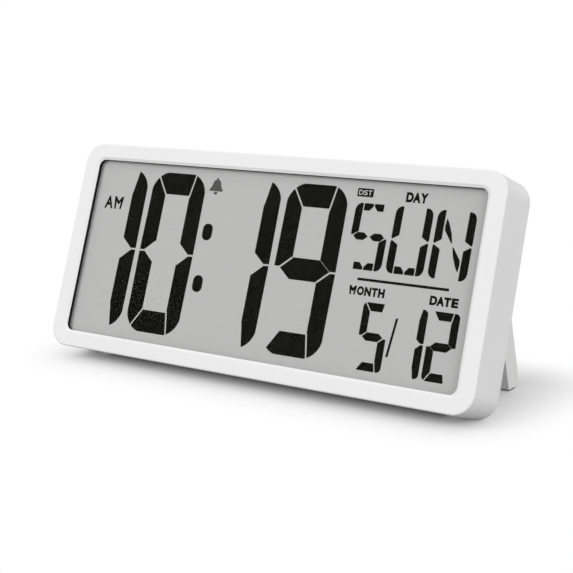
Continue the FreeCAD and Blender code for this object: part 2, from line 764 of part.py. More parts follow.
def make_cell(index):
    # Cells lie across the case and alternate end for end
    z = bay_z0 + cell_pitch * (index + 0.5)
    y = bay_floor_y + cell_radius + bay_side_gap / 2
    forward = index % 2 == 0
    profile = [(0, 0), (cell_radius - 0.4, 0), (cell_radius, 0.4), (cell_radius, cell_length - 0.6),
               (cell_radius - 0.6, cell_length), (nub_radius, cell_length),
               (nub_radius, cell_length + nub_height), (0, cell_length + nub_height)]
    wire = Part.makePolygon([FreeCAD.Vector(a, y, z + r) for r, a in profile + profile[:1]])
    body = Part.Face(wire).revolve(FreeCAD.Vector(0, y, z), FreeCAD.Vector(1, 0, 0), 360)
    if not forward:
        body = body.mirror(FreeCAD.Vector(0, y, z), FreeCAD.Vector(1, 0, 0))
        body.translate(FreeCAD.Vector(cell_length + nub_height, 0, 0))
    start = bay_x0 + contact_thickness + (spring_length if forward else 0)
    body.translate(FreeCAD.Vector(start, 0, 0))
    return body


def cell_axis(index):
    return bay_floor_y + cell_radius + bay_side_gap / 2, bay_z0 + cell_pitch * (index + 0.5)


def make_battery_springs():
    parts = []
    for index in range(cell_count):
        y, z = cell_axis(index)
        forward = index % 2 == 0
        x = bay_x0 + contact_thickness if forward else bay_x1 - contact_thickness
        way = 1 if forward else -1
        cone = Part.makeCone(4.4, 2.6, spring_length - 0.05, FreeCAD.Vector(x, y, z), FreeCAD.Vector(way, 0, 0))
        parts.append(cone)
    return Part.makeCompound(parts)


def make_contact_plates():
    parts = []
    y, first = cell_axis(0)
    half = cell_radius - 1.6
    pairs = ((bay_x0, (0, 0)), (bay_x0, (1, 2)), (bay_x0, (3, 3)), (bay_x1, (0, 1)), (bay_x1, (2, 3)))
    for x, (low, high) in pairs:
        x0 = x if x < bay_centre_x else x - contact_thickness
        parts.append(block(x0, x0 + contact_thickness, y - half, y + half,
                           first + cell_pitch * low - half, first + cell_pitch * high + half))
    return Part.makeCompound(parts)


def make_key(x):
    flange = rod(key_radius + 1.0, x, panel_y - cover_thickness - key_flange, panel_y - cover_thickness,
                 key_height_z)
    cap = rod(key_radius, x, panel_y - cover_thickness - 0.1, panel_y + key_stand_proud, key_height_z)
    cap = cap.makeChamfer(key_chamfer, edges_at_depth(cap, panel_y + key_stand_proud))
    return flange.fuse(cap).removeSplitter()


def make_tact_switches():
    parts = []
    base = key_board_y + board_thickness
    for x in key_xs:
        body = block(x - tact_size / 2, x + tact_size / 2, base, base + tact_height - tact_button_height,
                     key_height_z - tact_size / 2, key_height_z + tact_size / 2)
        parts.append(body.fuse(rod(tact_button_radius, x, base + tact_height - tact_button_height - 0.1,
                                   base + tact_height, key_height_z)))
    x = switch_x + switch_travel / 2
    body = block(x - slide_body_width / 2, x + slide_body_width / 2, base, base + tact_height,
                 key_height_z - slide_body_height / 2, key_height_z + slide_body_height / 2)
    return Part.makeCompound(parts + [body])


def make_key_board():
    x0 = key_first_x - key_board_left
    x1 = switch_x + switch_travel + key_board_right
    board = block(x0, x1, key_board_y, key_board_y + board_thickness,
                  key_height_z - key_board_height / 2, key_height_z + key_board_height / 2)
    return cut(board, [rod(small_hole_radius, x, key_board_y, key_board_y + board_thickness, z)
                       for x, z in key_posts])


def make_key_board_screws():
    parts = []
    for x, z in key_posts:
        head = rod(small_head_radius, x, key_board_y - small_head_height, key_board_y, z)
        shank = rod(small_shank_radius, x, key_board_y, key_board_y + board_thickness + small_screw_reach - 1, z)
        parts.append(head.fuse(shank))
    return Part.makeCompound(parts)


def make_switch_knob():
    y0 = key_board_y + board_thickness + tact_height + 0.1
    w = switch_knob_width / 2
    h = switch_knob_height / 2
    knob = block(switch_x - w, switch_x + w, y0, panel_y + 0.4, key_height_z - h, key_height_z + h)
    ribs = [block(switch_x + k - 0.3, switch_x + k + 0.3, panel_y + 0.3, panel_y + 0.8,
                  key_height_z - h + 0.3, key_height_z + h - 0.3) for k in (-1.1, 0, 1.1)]
    return joined([knob] + ribs)


def make_sounder():
    disc = rod(sounder_radius, sounder_x, cover_y - sounder_thickness + 0.6, cover_y, sounder_z)
    crystal = rod(sounder_radius * 0.62, sounder_x, cover_y - sounder_thickness + 0.2,
                  cover_y - sounder_thickness + 0.7, sounder_z)
    return disc.fuse(crystal)


def wire_run(points, radius=wire_radius):
    # Straight runs with a ball at each bend
    parts = []
    for a, b in zip(points, points[1:]):
        start = FreeCAD.Vector(*a)
        way = FreeCAD.Vector(*b).sub(start)
        parts.append(Part.makeCylinder(radius, way.Length, start, way))
    parts += [Part.makeSphere(radius, FreeCAD.Vector(*p)) for p in points[1:-1]]
    return joined(parts)


def make_sounder_wires():
    start_y = cover_y - sounder_thickness + 0.2 - wire_radius
    z = main_board_z + parts_rise
    top = board_back + socket_height + wire_radius
    lanes = []
    for dx in (-wire_spacing / 2, wire_spacing / 2):
        x = socket_xs[1] + dx
        lanes.append(wire_run([(sounder_x + dx, start_y, sounder_z),
                               (sounder_x + dx, top + wire_turn / 2, sounder_z - wire_turn),
                               (x, top, z + wire_end_rise), (x, top, z)]))
    return Part.makeCompound(lanes)


def make_battery_wires():
    z = main_board_z + parts_rise
    y = bay_floor_y - bay_wall - wire_radius
    top = board_back + socket_height + wire_radius
    lanes = []
    turn = wire_turn
    for dx, lift in ((-wire_spacing / 2, turn / 2), (wire_spacing / 2, turn)):
        x = socket_xs[0] + dx
        lanes.append(wire_run([(bay_x0 + turn * 0.75, y, bay_z0 + lift),
                               (bay_x0 - turn / 2, y, bay_z0 + lift - turn / 4),
                               (x, top, z + turn), (x, top, z)]))
    return Part.makeCompound(lanes)


def make_ribbon_cable():
    # Flat cable from the key board down to the main board
    x1 = key_first_x - ribbon_space
    x0 = x1 - ribbon_width
    y0 = key_board_y - ribbon_thickness
    y1 = board_back
    z0 = key_height_z - ribbon_top_drop
    z1 = main_board_z + main_board_height - ribbon_end_drop
    turn_z = z1 + ribbon_turn
    drop = block(x0, x1, y0, key_board_y, turn_z, z0)
    lower = block(x0, x1, y1, y1 + ribbon_thickness, z1 - ribbon_joint, z1)
    k = ribbon_thickness
    slope = prism_side([(key_board_y, turn_z), (key_board_y - k, turn_z), (y1, z1 - k), (y1 + k, z1 - k)],
                       x0, x1)
    return joined([drop, slope, lower])


def prism_side(points, x0, x1):
    corners = [FreeCAD.Vector(x0, y, z) for y, z in points]
    return Part.Face(Part.makePolygon(corners + corners[:1])).extrude(FreeCAD.Vector(x1 - x0, 0, 0))


def make_case_screws():
    parts = []
    y = boss_top + tower_floor
    for x, z in screw_places:
        head = rod(screw_head_radius, x, y, y + screw_head_height, z)
        head = head.makeChamfer(screw_head_chamfer, edges_at_depth(head, y + screw_head_height))
        shank = rod(screw_radius, x, y - screw_length, y, z)
        parts.append(head.fuse(shank))
    return Part.makeCompound(parts)


# Stand, drawn folded flat in the rear cover and swung open about its pins
def make_stand():
    foot_z = pivot_height - sole_reach
    half = arm_depth / 2
    # The sole is level when the clock stands, so it slants by the leg's own lean
    tilt = math.tan(math.radians(stand_opening) - case_lean())
    solids = []
    for side in (-1, 1):
        x0 = side * arm_centre - arm_width / 2
        x1 = x0 + arm_width
        sole = foot_z + pad_thickness
        arm = prism_side([(pivot_y - half, pivot_height), (pivot_y + half, pivot_height),
                          (pivot_y + half, sole), (pivot_y - half, sole + 2 * half * tilt)], x0, x1)
        arm = arm.fuse(cross_rod(half, x0, x1, pivot_y, pivot_height))
        arm = arm.fuse(block(x0, x1, pivot_y - heel_setback, pivot_y, pivot_height, pivot_height + heel_height))
        arm = arm.cut(cross_rod(pin_radius + pin_hole_gap, x0, x1, pivot_y, pivot_height)).removeSplitter()
        low = [e for e in arm.Edges if e.BoundBox.XLength > arm_width - 0.1
               and abs(e.BoundBox.YMin - pivot_y - half) < 0.01 and e.BoundBox.ZMax < sole + 0.5]
        solids.append(arm.makeFillet(foot_radius, low))
    reach = arm_centre - arm_width / 2 + 0.5
    back = rear - flush_gap
    bar = block(-reach, reach, back - cross_depth, back, cross_z0, cross_z1)
    bar = bar.makeFillet(1.2, edges_at_depth(bar, back))
    # Pockets in the crossbar's hidden side keep its wall even
    length = (2 * reach - (relief_count + 1) * relief_rib) / relief_count
    relief = []
    for i in range(relief_count):
        x = (i + 0.5) * (length + relief_rib) - reach + relief_rib / 2
        relief.append(plate(length, cross_height - relief_rib, 2.0, back - cross_depth, back - relief_skin,
                            x, (cross_z0 + cross_z1) / 2))
    return joined(solids + [bar.cut(Part.makeCompound(relief))])


def make_stand_feet():
    # Rubber soles under both arms
    sole = pivot_height - sole_reach
    half = arm_depth / 2
    tilt = math.tan(math.radians(stand_opening) - case_lean())
    inset = 1.0
    parts = []
    for side in (-1, 1):
        x0 = side * arm_centre - arm_width / 2 + inset / 2
        x1 = x0 + arm_width - inset
        y1 = pivot_y + half - foot_radius
        y0 = pivot_y - half + inset
        rise = (pivot_y + half - y1) * tilt
        rise0 = (pivot_y + half - y0) * tilt
        parts.append(prism_side([(y0, sole + rise0), (y1, sole + rise), (y1, sole + rise + pad_thickness),
                                 (y0, sole + rise0 + pad_thickness)], x0, x1))
    return Part.makeCompound(parts)


def make_stand_pins():
    return Part.makeCompound([cross_rod(pin_radius - 0.02, side * arm_centre - pin_length / 2,
                                        side * arm_centre + pin_length / 2, pivot_y, pivot_height)
                              for side in (-1, 1)])


def case_lean():
    # The clock stands on the round of its lower rear edge and on the soles of the opened stand
    theta = math.radians(stand_opening)
    a = pivot_y - (rear - rear_edge_radius)
    b = pivot_height - rear_edge_radius
    # The sole passes the arm's outer lower corner and is level when the stand is open
    half = arm_depth / 2
    lean = math.radians(18.0)
    for _ in range(40):
        leg = theta - lean
        foot = sole_reach * math.cos(leg) - half * math.sin(leg)
        height = -a * math.sin(lean) + b * math.cos(lean) - foot + rear_edge_radius
        slope = -a * math.cos(lean) - b * math.sin(lean) - sole_reach * math.sin(leg) - half * math.cos(leg)
        lean -= height / slope
    return lean


lean = case_lean()
print("lean", round(math.degrees(lean), 3), "leg", round(stand_opening - math.degrees(lean), 3))

case_nodes = {
    "front_housing": make_front_housing(),
    "display_lens": make_lens(),
    "window_gasket": make_gasket(),
    "lcd_front_glass": make_front_glass(),
    "time_segments": make_time_segments(),
    "calendar_segments": make_calendar_segments(),
    "lcd_rear_glass": make_rear_glass(),
    "lcd_reflector": make_reflector(),
    "lcd_carrier": make_carrier(),
    "carrier_screws": make_carrier_screws(),
    "contact_strip": make_contact_strip(),
    "main_board": make_main_board(),
    "board_parts": make_board_parts(),
    "board_screws": make_board_screws(),
    "rear_cover": make_rear_cover(),
    "case_screws": make_case_screws(),
    "battery_door": make_battery_door(),
    "battery_springs": make_battery_springs(),
    "contact_plates": make_contact_plates(),
    "battery_wires": make_battery_wires(),
    "key_board": make_key_board(),
    "key_board_screws": make_key_board_screws(),
    "tact_switches": make_tact_switches(),
    "alarm_switch": make_switch_knob(),
    "ribbon_cable": make_ribbon_cable(),
    "sounder": make_sounder(),
    "sounder_wires": make_sounder_wires(),
    "stand_pins": make_stand_pins(),
}
for index in range(cell_count):
    case_nodes["battery_cell_" + str(index + 1)] = make_cell(index)
key_names = ("set_key", "up_key", "down_key", "alarm_key", "snooze_key")
for index, x in enumerate(key_xs):
    name = key_names[index] if index < len(key_names) else "key_" + str(index + 1)
    case_nodes[name] = make_key(x)
stand_nodes = {"stand": make_stand(), "stand_feet": make_stand_feet()}

for shape in stand_nodes.values():
    shape.rotate(FreeCAD.Vector(0, pivot_y, pivot_height), FreeCAD.Vector(1, 0, 0), stand_opening)
nodes = dict(case_nodes)
nodes.update(stand_nodes)

# Lean the whole clock back about the round of its lower rear edge and stand it on the floor
edge = FreeCAD.Vector(0, rear - rear_edge_radius, rear_edge_radius)
for shape in nodes.values():
    shape.rotate(edge, FreeCAD.Vector(1, 0, 0), -math.degrees(lean))
front = nodes["front_housing"].optimalBoundingBox()
back = nodes["stand"].optimalBoundingBox()
centre = (front.YMin + back.YMax) / 2
os.makedirs("parts", exist_ok=True)
for name, shape in nodes.items():
    shape.translate(FreeCAD.Vector(0, -centre, 0))
    shape.exportStep("parts/" + name + ".step")
    print(name, len(shape.Solids), round(shape.Volume, 1), shape.isValid())
pivot = FreeCAD.Vector(0, pivot_y, pivot_height).sub(edge)
print("pivot", round(edge.y - centre + pivot.y * math.cos(lean) + pivot.z * math.sin(lean), 3),
      round(rear_edge_radius - pivot.y * math.sin(lean) + pivot.z * math.cos(lean), 3))
print("case origin", round(edge.y - centre, 4), "lean", round(math.degrees(lean), 4))
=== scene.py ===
import json
import math
import bpy
from mathutils import Matrix, Vector


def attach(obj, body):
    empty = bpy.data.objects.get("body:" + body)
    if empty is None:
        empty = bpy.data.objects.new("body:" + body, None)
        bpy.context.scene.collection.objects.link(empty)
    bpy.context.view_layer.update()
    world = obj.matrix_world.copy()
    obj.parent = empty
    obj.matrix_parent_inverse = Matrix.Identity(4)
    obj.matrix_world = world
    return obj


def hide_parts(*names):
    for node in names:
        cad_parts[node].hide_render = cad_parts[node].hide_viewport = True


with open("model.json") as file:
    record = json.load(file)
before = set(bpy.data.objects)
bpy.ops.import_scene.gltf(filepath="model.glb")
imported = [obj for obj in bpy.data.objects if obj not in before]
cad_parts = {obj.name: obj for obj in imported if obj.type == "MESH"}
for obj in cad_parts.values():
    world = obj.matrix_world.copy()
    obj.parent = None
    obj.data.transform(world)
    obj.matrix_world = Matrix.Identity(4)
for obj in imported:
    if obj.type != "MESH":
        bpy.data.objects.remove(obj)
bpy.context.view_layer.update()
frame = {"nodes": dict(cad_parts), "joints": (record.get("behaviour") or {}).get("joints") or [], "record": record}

# The case leans back, so its pieces are made upright, in millimetres from the middle of its
# lower front edge, and this matrix leans them into place
pressAxis = next(j["axis"] for j in frame["joints"] if j["name"] == "set_press")
caseLean = math.atan2(pressAxis[2], -pressAxis[1])
backPoint = next(m["pos_m"] for m in frame["record"]["mounts"] if m["name"] == "case_back")
backInCase = Vector((0, 0.038, 0.128))
leanIn = (Matrix.Translation(Vector(backPoint)) @ Matrix.Rotation(-caseLean, 4, "X")
          @ Matrix.Translation(-backInCase))
mm = 0.001
sameSpot = 1e-6          # metres within which two heights count as one
print("frame loaded, case leans", round(math.degrees(caseLean), 2))


# Camera, a little right of the clock and above it
camera = {"place": (0.55314, -0.79569, 0.26206), "turn": (82.1154, 0.349, 34.7434), "lens": 85.786,
          "sensor": 36, "shiftY": -0.151, "near": 0.01, "far": 40}
bpy.ops.object.select_all(action="DESELECT")
bpy.ops.object.camera_add(location=camera["place"], rotation=[math.radians(a) for a in camera["turn"]])
cam = bpy.context.object
cam.name = "clockCamera"
cam.data.lens = camera["lens"]
cam.data.sensor_width = camera["sensor"]
cam.data.shift_y = camera["shiftY"]
cam.data.clip_start = camera["near"]
cam.data.clip_end = camera["far"]
bpy.context.scene.camera = cam
print("camera placed")


# Node helpers for the finishes
def newFinish(name):
    mat = bpy.data.materials.new(name)
    mat.use_nodes = True
    shader = mat.node_tree.nodes["Principled BSDF"]
    return mat, mat.node_tree, shader


def addNode(tree, kind, **values):
    node = tree.nodes.new(kind)
    for key, value in values.items():
        if key in node.inputs:
            node.inputs[key].default_value = value
        else:
            setattr(node, key, value)
    return node


def objectNoise(tree, scale, detail=3.0, rough=0.5):
    coord = addNode(tree, "ShaderNodeTexCoord")
    noise = addNode(tree, "ShaderNodeTexNoise", Scale=scale, Detail=detail, Roughness=rough)
    tree.links.new(coord.outputs["Object"], noise.inputs["Vector"])
    return noise.outputs["Fac"]


def blendColours(tree, factor, low, high, fromLow=0.35, fromHigh=0.65):
    ramp = addNode(tree, "ShaderNodeValToRGB")
    ramp.color_ramp.elements[0].position = fromLow
    ramp.color_ramp.elements[0].color = (*low, 1)
    ramp.color_ramp.elements[1].position = fromHigh
    ramp.color_ramp.elements[1].color = (*high, 1)
    tree.links.new(factor, ramp.inputs["Fac"])
    return ramp.outputs["Color"]


def addBump(tree, shader, height, strength, distance):
    bump = addNode(tree, "ShaderNodeBump", Strength=strength, Distance=distance)
    tree.links.new(height, bump.inputs["Height"])
    tree.links.new(bump.outputs["Normal"], shader.inputs["Normal"])


def addRoughness(tree, shader, factor, low, high, fromLow=0.3, fromHigh=0.7):
    spread = addNode(tree, "ShaderNodeMapRange")
    spread.inputs["From Min"].default_value = fromLow
    spread.inputs["From Max"].default_value = fromHigh
    spread.inputs["To Min"].default_value = low
    spread.inputs["To Max"].default_value = high
    tree.links.new(factor, spread.inputs["Value"])
    tree.links.new(spread.outputs["Result"], shader.inputs["Roughness"])


moulding = {"mottleScale": 26, "mottleDetail": 4, "wearScale": 60, "wearSpread": 0.05,
            "grainDetail": 2, "grainRough": 0.6, "grainDepth": 0.0001}


def mouldedPlastic(name, shade, spread, rough, grain, bump, specular):
    # Injection-moulded skin: faint mottling in the colour, a fine spark-eroded grain in the surface
    mat, tree, shader = newFinish(name)
    low = tuple(c - spread for c in shade)
    mottle = objectNoise(tree, moulding["mottleScale"], moulding["mottleDetail"])
    tree.links.new(blendColours(tree, mottle, low, shade), shader.inputs["Base Color"])
    wear = objectNoise(tree, moulding["wearScale"])
    addRoughness(tree, shader, wear, rough - moulding["wearSpread"], rough + moulding["wearSpread"])
    fine = objectNoise(tree, grain, moulding["grainDetail"], moulding["grainRough"])
    addBump(tree, shader, fine, bump, moulding["grainDepth"])
    shader.inputs["Specular IOR Level"].default_value = specular
    return mat


metal = {"grainScale": 900, "darker": 0.82, "smoother": 0.06, "rougher": 0.08}


def plainMetal(name, shade, rough):
    mat, tree, shader = newFinish(name)
    grain = objectNoise(tree, metal["grainScale"])
    dark = tuple(c * metal["darker"] for c in shade)
    tree.links.new(blendColours(tree, grain, dark, shade), shader.inputs["Base Color"])
    addRoughness(tree, shader, grain, rough - metal["smoother"], rough + metal["rougher"])
    shader.inputs["Metallic"].default_value = 1.0
    return mat


def seeThrough(name, shine, shineRough):
    # Thin clear sheet: lets the display show, with a weak gloss on top
    mat, tree, shader = newFinish(name)
    tree.nodes.remove(shader)
    clear = addNode(tree, "ShaderNodeBsdfTransparent", Color=(1, 1, 1, 1))
    gloss = addNode(tree, "ShaderNodeBsdfAnisotropic", Roughness=shineRough)
    mix = addNode(tree, "ShaderNodeMixShader", Fac=shine)
    tree.links.new(clear.outputs["BSDF"], mix.inputs[1])
    tree.links.new(gloss.outputs["BSDF"], mix.inputs[2])
    tree.links.new(mix.outputs["Shader"], tree.nodes["Material Output"].inputs["Surface"])
    return mat


# Base colour, how far the mottling darkens it, roughness, scale and strength of the grain, specular level
plastics = {
    "caseSkin": ((0.835, 0.835, 0.835), 0.010, 0.45, 2600, 0.10, 0.2),
    "coverSkin": ((0.83, 0.83, 0.825), 0.018, 0.55, 1500, 0.25, 0.3),
    "keySkin": ((0.50, 0.50, 0.51), 0.02, 0.5, 1800, 0.2, 0.4),
    "traySkin": ((0.70, 0.70, 0.69), 0.02, 0.5, 1200, 0.2, 0.4),
    "displaySegments": ((0.0098, 0.0098, 0.0090), 0.002, 0.7, 3000, 0.03, 0.0),
    "greyMark": ((0.102, 0.102, 0.100), 0.008, 0.7, 3000, 0.03, 0.0),
    "darkLiner": ((0.018, 0.018, 0.018), 0.004, 0.8, 1500, 0.3, 0.1),
    "chipResin": ((0.020, 0.020, 0.020), 0.005, 0.35, 700, 0.3, 0.4),
    "ribbonSkin": ((0.55, 0.55, 0.57), 0.03, 0.5, 900, 0.15, 0.4),
    "wireSkin": ((0.45, 0.04, 0.03), 0.03, 0.45, 900, 0.1, 0.4),
    "soleRubber": ((0.16, 0.16, 0.16), 0.02, 0.85, 900, 0.6, 0.2),
    "contactRubber": ((0.50, 0.50, 0.47), 0.04, 0.8, 700, 0.3, 0.4),
    "labelInk": ((0.12, 0.12, 0.12), 0.01, 0.6, 2000, 0.05, 0.2),
}
# Base colour, roughness
metals = {
    "zincScrew": ((0.62, 0.62, 0.63), 0.32),
    "nickelSpring": ((0.70, 0.69, 0.66), 0.25),
    "thinBrass": ((0.78, 0.58, 0.28), 0.3),
}
# Share of gloss, its roughness
clears = {"clearLens": (0.0012, 0.3), "displayGlass": (0.0004, 0.3)}

finishes = {name: mouldedPlastic(name, *values) for name, values in plastics.items()}
finishes.update((name, plainMetal(name, *values)) for name, values in metals.items())
finishes.update((name, seeThrough(name, *values)) for name, values in clears.items())

# Each noise is given by its scale, its detail and, where there is a third number, its roughness
film = {"low": (0.505, 0.505, 0.502), "high": (0.547, 0.547, 0.544), "sparkle": (5200, 2, 0.7),
        "wear": (40, 2), "rough": (0.6, 0.7), "specular": 0.1}


def displayFilm():
    # Reflective film behind the glass: even grey with a very fine sparkle
    mat, tree, shader = newFinish("displayFilm")
    sparkle = objectNoise(tree, *film["sparkle"])
    tree.links.new(blendColours(tree, sparkle, film["low"], film["high"]), shader.inputs["Base Color"])
    addRoughness(tree, shader, objectNoise(tree, *film["wear"]), *film["rough"])
    shader.inputs["Specular IOR Level"].default_value = film["specular"]
    return mat


board = {"mask": (0.020, 0.130, 0.055), "otherMask": (0.026, 0.150, 0.065), "runs": (0.060, 0.260, 0.110),
         "runScale": 120.0, "runWidth": 0.06, "relief": 0.3, "reliefDepth": 0.0001, "rough": 0.3}


def solderMask():
    # Green board, with raised copper runs showing paler through the mask
    mat, tree, shader = newFinish("solderMask")
    coord = addNode(tree, "ShaderNodeTexCoord")
    turned = addNode(tree, "ShaderNodeMapping", Rotation=(math.radians(90) + caseLean, 0, 0))
    runs = addNode(tree, "ShaderNodeTexBrick", Scale=board["runScale"])
    runs.inputs["Mortar Size"].default_value = board["runWidth"]
    runs.inputs["Color1"].default_value = (*board["mask"], 1)
    runs.inputs["Color2"].default_value = (*board["otherMask"], 1)
    runs.inputs["Mortar"].default_value = (*board["runs"], 1)
    tree.links.new(coord.outputs["Object"], turned.inputs["Vector"])
    tree.links.new(turned.outputs["Vector"], runs.inputs["Vector"])
    tree.links.new(runs.outputs["Color"], shader.inputs["Base Color"])
    addBump(tree, shader, runs.outputs["Fac"], board["relief"], board["reliefDepth"])
    shader.inputs["Roughness"].default_value = board["rough"]
    return mat


# A cell's ends in millimetres, and the shares of its length where the copper band and the bare tip begin
cell = {"ends": (-89.0, -35.0), "band": 0.70, "tip": 0.955,
        "body": ((0.020, 0.020, 0.024), (0.036, 0.036, 0.040)),
        "copper": ((0.50, 0.24, 0.10), (0.62, 0.32, 0.14)),
        "steel": ((0.55, 0.55, 0.54), (0.66, 0.66, 0.65)),
        "wear": (300, 4), "rough": (0.22, 0.38), "specular": 0.6}
colourA, colourB, mixedColour = 6, 7, 2      # the mix node's sockets for colours


def cellSleeve(name, plusSide):
    # Printed sleeve of a battery cell: dark body, copper-coloured band and bare metal tip at the plus end
    mat, tree, shader = newFinish(name)
    coord = addNode(tree, "ShaderNodeTexCoord")
    split = addNode(tree, "ShaderNodeSeparateXYZ")
    tree.links.new(coord.outputs["Object"], split.inputs["Vector"])
    along = addNode(tree, "ShaderNodeMapRange")
    ends = cell["ends"] if plusSide > 0 else cell["ends"][::-1]
    along.inputs["From Min"].default_value = ends[0] * mm
    along.inputs["From Max"].default_value = ends[1] * mm
    tree.links.new(split.outputs["X"], along.inputs["Value"])
    wear = objectNoise(tree, *cell["wear"])
    colour = blendColours(tree, wear, *cell["body"])
    for start, kind in (("band", "copper"), ("tip", "steel")):
        paint = blendColours(tree, wear, *cell[kind])
        step = addNode(tree, "ShaderNodeMath", operation="GREATER_THAN")
        step.inputs[1].default_value = cell[start]
        tree.links.new(along.outputs["Result"], step.inputs[0])
        mix = addNode(tree, "ShaderNodeMix", data_type="RGBA")
        tree.links.new(step.outputs["Value"], mix.inputs["Factor"])
        tree.links.new(colour, mix.inputs[colourA])
        tree.links.new(paint, mix.inputs[colourB])
        colour = mix.outputs[mixedColour]
    tree.links.new(colour, shader.inputs["Base Color"])
    addRoughness(tree, shader, wear, *cell["rough"])
    shader.inputs["Specular IOR Level"].default_value = cell["specular"]
    return mat


finishes["displayFilm"] = displayFilm()
finishes["solderMask"] = solderMask()
finishes["cellPlusRight"] = cellSleeve("cellPlusRight", 1)
finishes["cellPlusLeft"] = cellSleeve("cellPlusLeft", -1)

nodeFinishes = {
    "front_housing": "caseSkin", "rear_cover": "coverSkin", "battery_door": "coverSkin",
    "stand": "coverSkin", "stand_feet": "soleRubber", "stand_pins": "zincScrew",
    "display_lens": "clearLens", "window_gasket": "darkLiner", "lcd_front_glass": "displayGlass",
    "time_segments": "displaySegments", "calendar_segments": "displaySegments",
    "lcd_rear_glass": "displayFilm", "lcd_reflector": "displayFilm", "lcd_carrier": "traySkin",
    "carrier_screws": "zincScrew", "contact_strip": "contactRubber", "main_board": "solderMask",
    "board_parts": "chipResin", "board_screws": "zincScrew", "case_screws": "zincScrew",
    "battery_springs": "nickelSpring", "contact_plates": "nickelSpring", "battery_wires": "wireSkin",
    "key_board": "solderMask", "key_board_screws": "zincScrew", "tact_switches": "chipResin",
    "alarm_switch": "keySkin", "ribbon_cable": "ribbonSkin", "sounder": "thinBrass",
    "sounder_wires": "wireSkin", "battery_cell_1": "cellPlusRight", "battery_cell_2": "cellPlusLeft",
    "battery_cell_3": "cellPlusRight", "battery_cell_4": "cellPlusLeft", "set_key": "keySkin",
    "up_key": "keySkin", "down_key": "keySkin", "alarm_key": "keySkin", "snooze_key": "keySkin",
}
for nodeName, finishName in nodeFinishes.items():
    mesh = frame["nodes"][nodeName].data
    if not mesh.materials:
        mesh.materials.append(finishes[finishName])
    for slotIndex in range(len(mesh.materials)):
        mesh.materials[slotIndex] = finishes[finishName]
print("finishes on", len(nodeFinishes), "nodes")


# Placing and finishing of new pieces
def pick(obj):
    bpy.ops.object.select_all(action="DESELECT")
    obj.select_set(True)
    bpy.context.view_layer.objects.active = obj


def settle(obj, name, finish, body):
    # Lean the upright piece into the case, with its place in its mesh
    pick(obj)
    obj.matrix_world = leanIn @ obj.matrix_world
    bpy.ops.object.transform_apply(location=True, rotation=True, scale=True)
    obj.name = name
    obj.data.name = name
    obj.data.materials.clear()
    obj.data.materials.append(finishes[finish])
    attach(obj, body)
    return obj


def shapeRead(obj):
    return [v.co for v in obj.data.vertices]


def fitIn(obj, left, right, bottom, top):
    # Stretch a flat piece, drawn facing the front, to its measured box
    points = shapeRead(obj)
    lowX, highX = min(p.x for p in points), max(p.x for p in points)
    lowZ, highZ = min(p.z for p in points), max(p.z for p in points)
    for p in points:
        p.x = left + (p.x - lowX) / (highX - lowX) * (right - left)
        p.z = bottom + (p.z - lowZ) / (highZ - lowZ) * (top - bottom)


# Letters come from the built-in font one at a time, and take the widths of a plain bold face
lettering = {
    "width": {"A": 0.86, "D": 0.82, "E": 0.74, "F": 0.70, "H": 0.82, "L": 0.68, "M": 0.96, "N": 0.83,
              "O": 0.90, "P": 0.76, "R": 0.82, "S": 0.78, "T": 0.76, "U": 0.82, "W": 1.15, "Y": 0.84,
              "Z": 0.74},
    "gap": 0.07, "tuck": {"AY", "AT", "DA", "LA"}, "tuckBy": 0.13, "legTop": 0.72,
    "size": 0.01, "depth": 0.00005, "edgeSteps": 1, "curveSteps": 6,
}


def makeLetter(letter, box, bold, towardsBack):
    bpy.ops.object.select_all(action="DESELECT")
    bpy.ops.object.text_add()
    text = bpy.context.object
    text.data.body = letter
    text.data.size = lettering["size"]
    text.data.bevel_depth = bold * lettering["size"]     # thickens the strokes; pressed flat later
    text.data.bevel_resolution = lettering["edgeSteps"]
    text.data.extrude = lettering["depth"]
    text.data.resolution_u = lettering["curveSteps"]
    pick(text)
    bpy.ops.object.convert(target="MESH")
    text = bpy.context.object
    if letter == "M":                        # the font's splayed legs are drawn upright
        points = shapeRead(text)
        low, high = min(p.y for p in points), max(p.y for p in points)
        middle = (min(p.x for p in points) + max(p.x for p in points)) / 2
        for p in points:
            down = (high - p.y) / (high - low)
            p.x = middle + (p.x - middle) * (1 + (lettering["legTop"] - 1) * down)
    text.data.transform(Matrix.Rotation(math.radians(90), 4, "X"))
    fitIn(text, *box)
    if towardsBack:                          # seen from behind, the word runs the other way
        centre = (box[0] + box[1]) / 2
        for p in shapeRead(text):
            p.x = 2 * centre - p.x
        bpy.ops.object.mode_set(mode="EDIT")
        bpy.ops.mesh.select_all(action="SELECT")
        bpy.ops.mesh.flip_normals()
        bpy.ops.object.mode_set(mode="OBJECT")
    return text


def printedWord(name, word, box, face, thickness, finish, body, bold=0.0, towardsBack=False):
    # box: left, right, bottom and top in case millimetres; face: how far back the ink's front lies
    left, right, bottom, top = [v * mm for v in box]
    starts, pen = [], 0.0
    for place, letter in enumerate(word):
        if place:
            tuck = lettering["tuckBy"] if word[place - 1:place + 1] in lettering["tuck"] else 0
            pen += lettering["gap"] - tuck
        starts.append(pen)
        pen += lettering["width"][letter]
    letters = []
    for letter, start in zip(word, starts):
        ends = [start / pen, (start + lettering["width"][letter]) / pen]
        if towardsBack:
            ends = [1 - ends[1], 1 - ends[0]]
        sides = [left + end * (right - left) for end in ends]
        letters.append(makeLetter(letter, (*sides, bottom, top), bold, towardsBack))
    pick(letters[0])
    for letter in letters[1:]:
        letter.select_set(True)
    if len(letters) > 1:
        bpy.ops.object.join()
    text = bpy.context.object
    points = shapeRead(text)
    lowY, highY = min(p.y for p in points), max(p.y for p in points)
    for p in points:
        p.y = (face + thickness * (p.y - lowY) / (highY - lowY)) * mm
    return settle(text, name, finish, body)


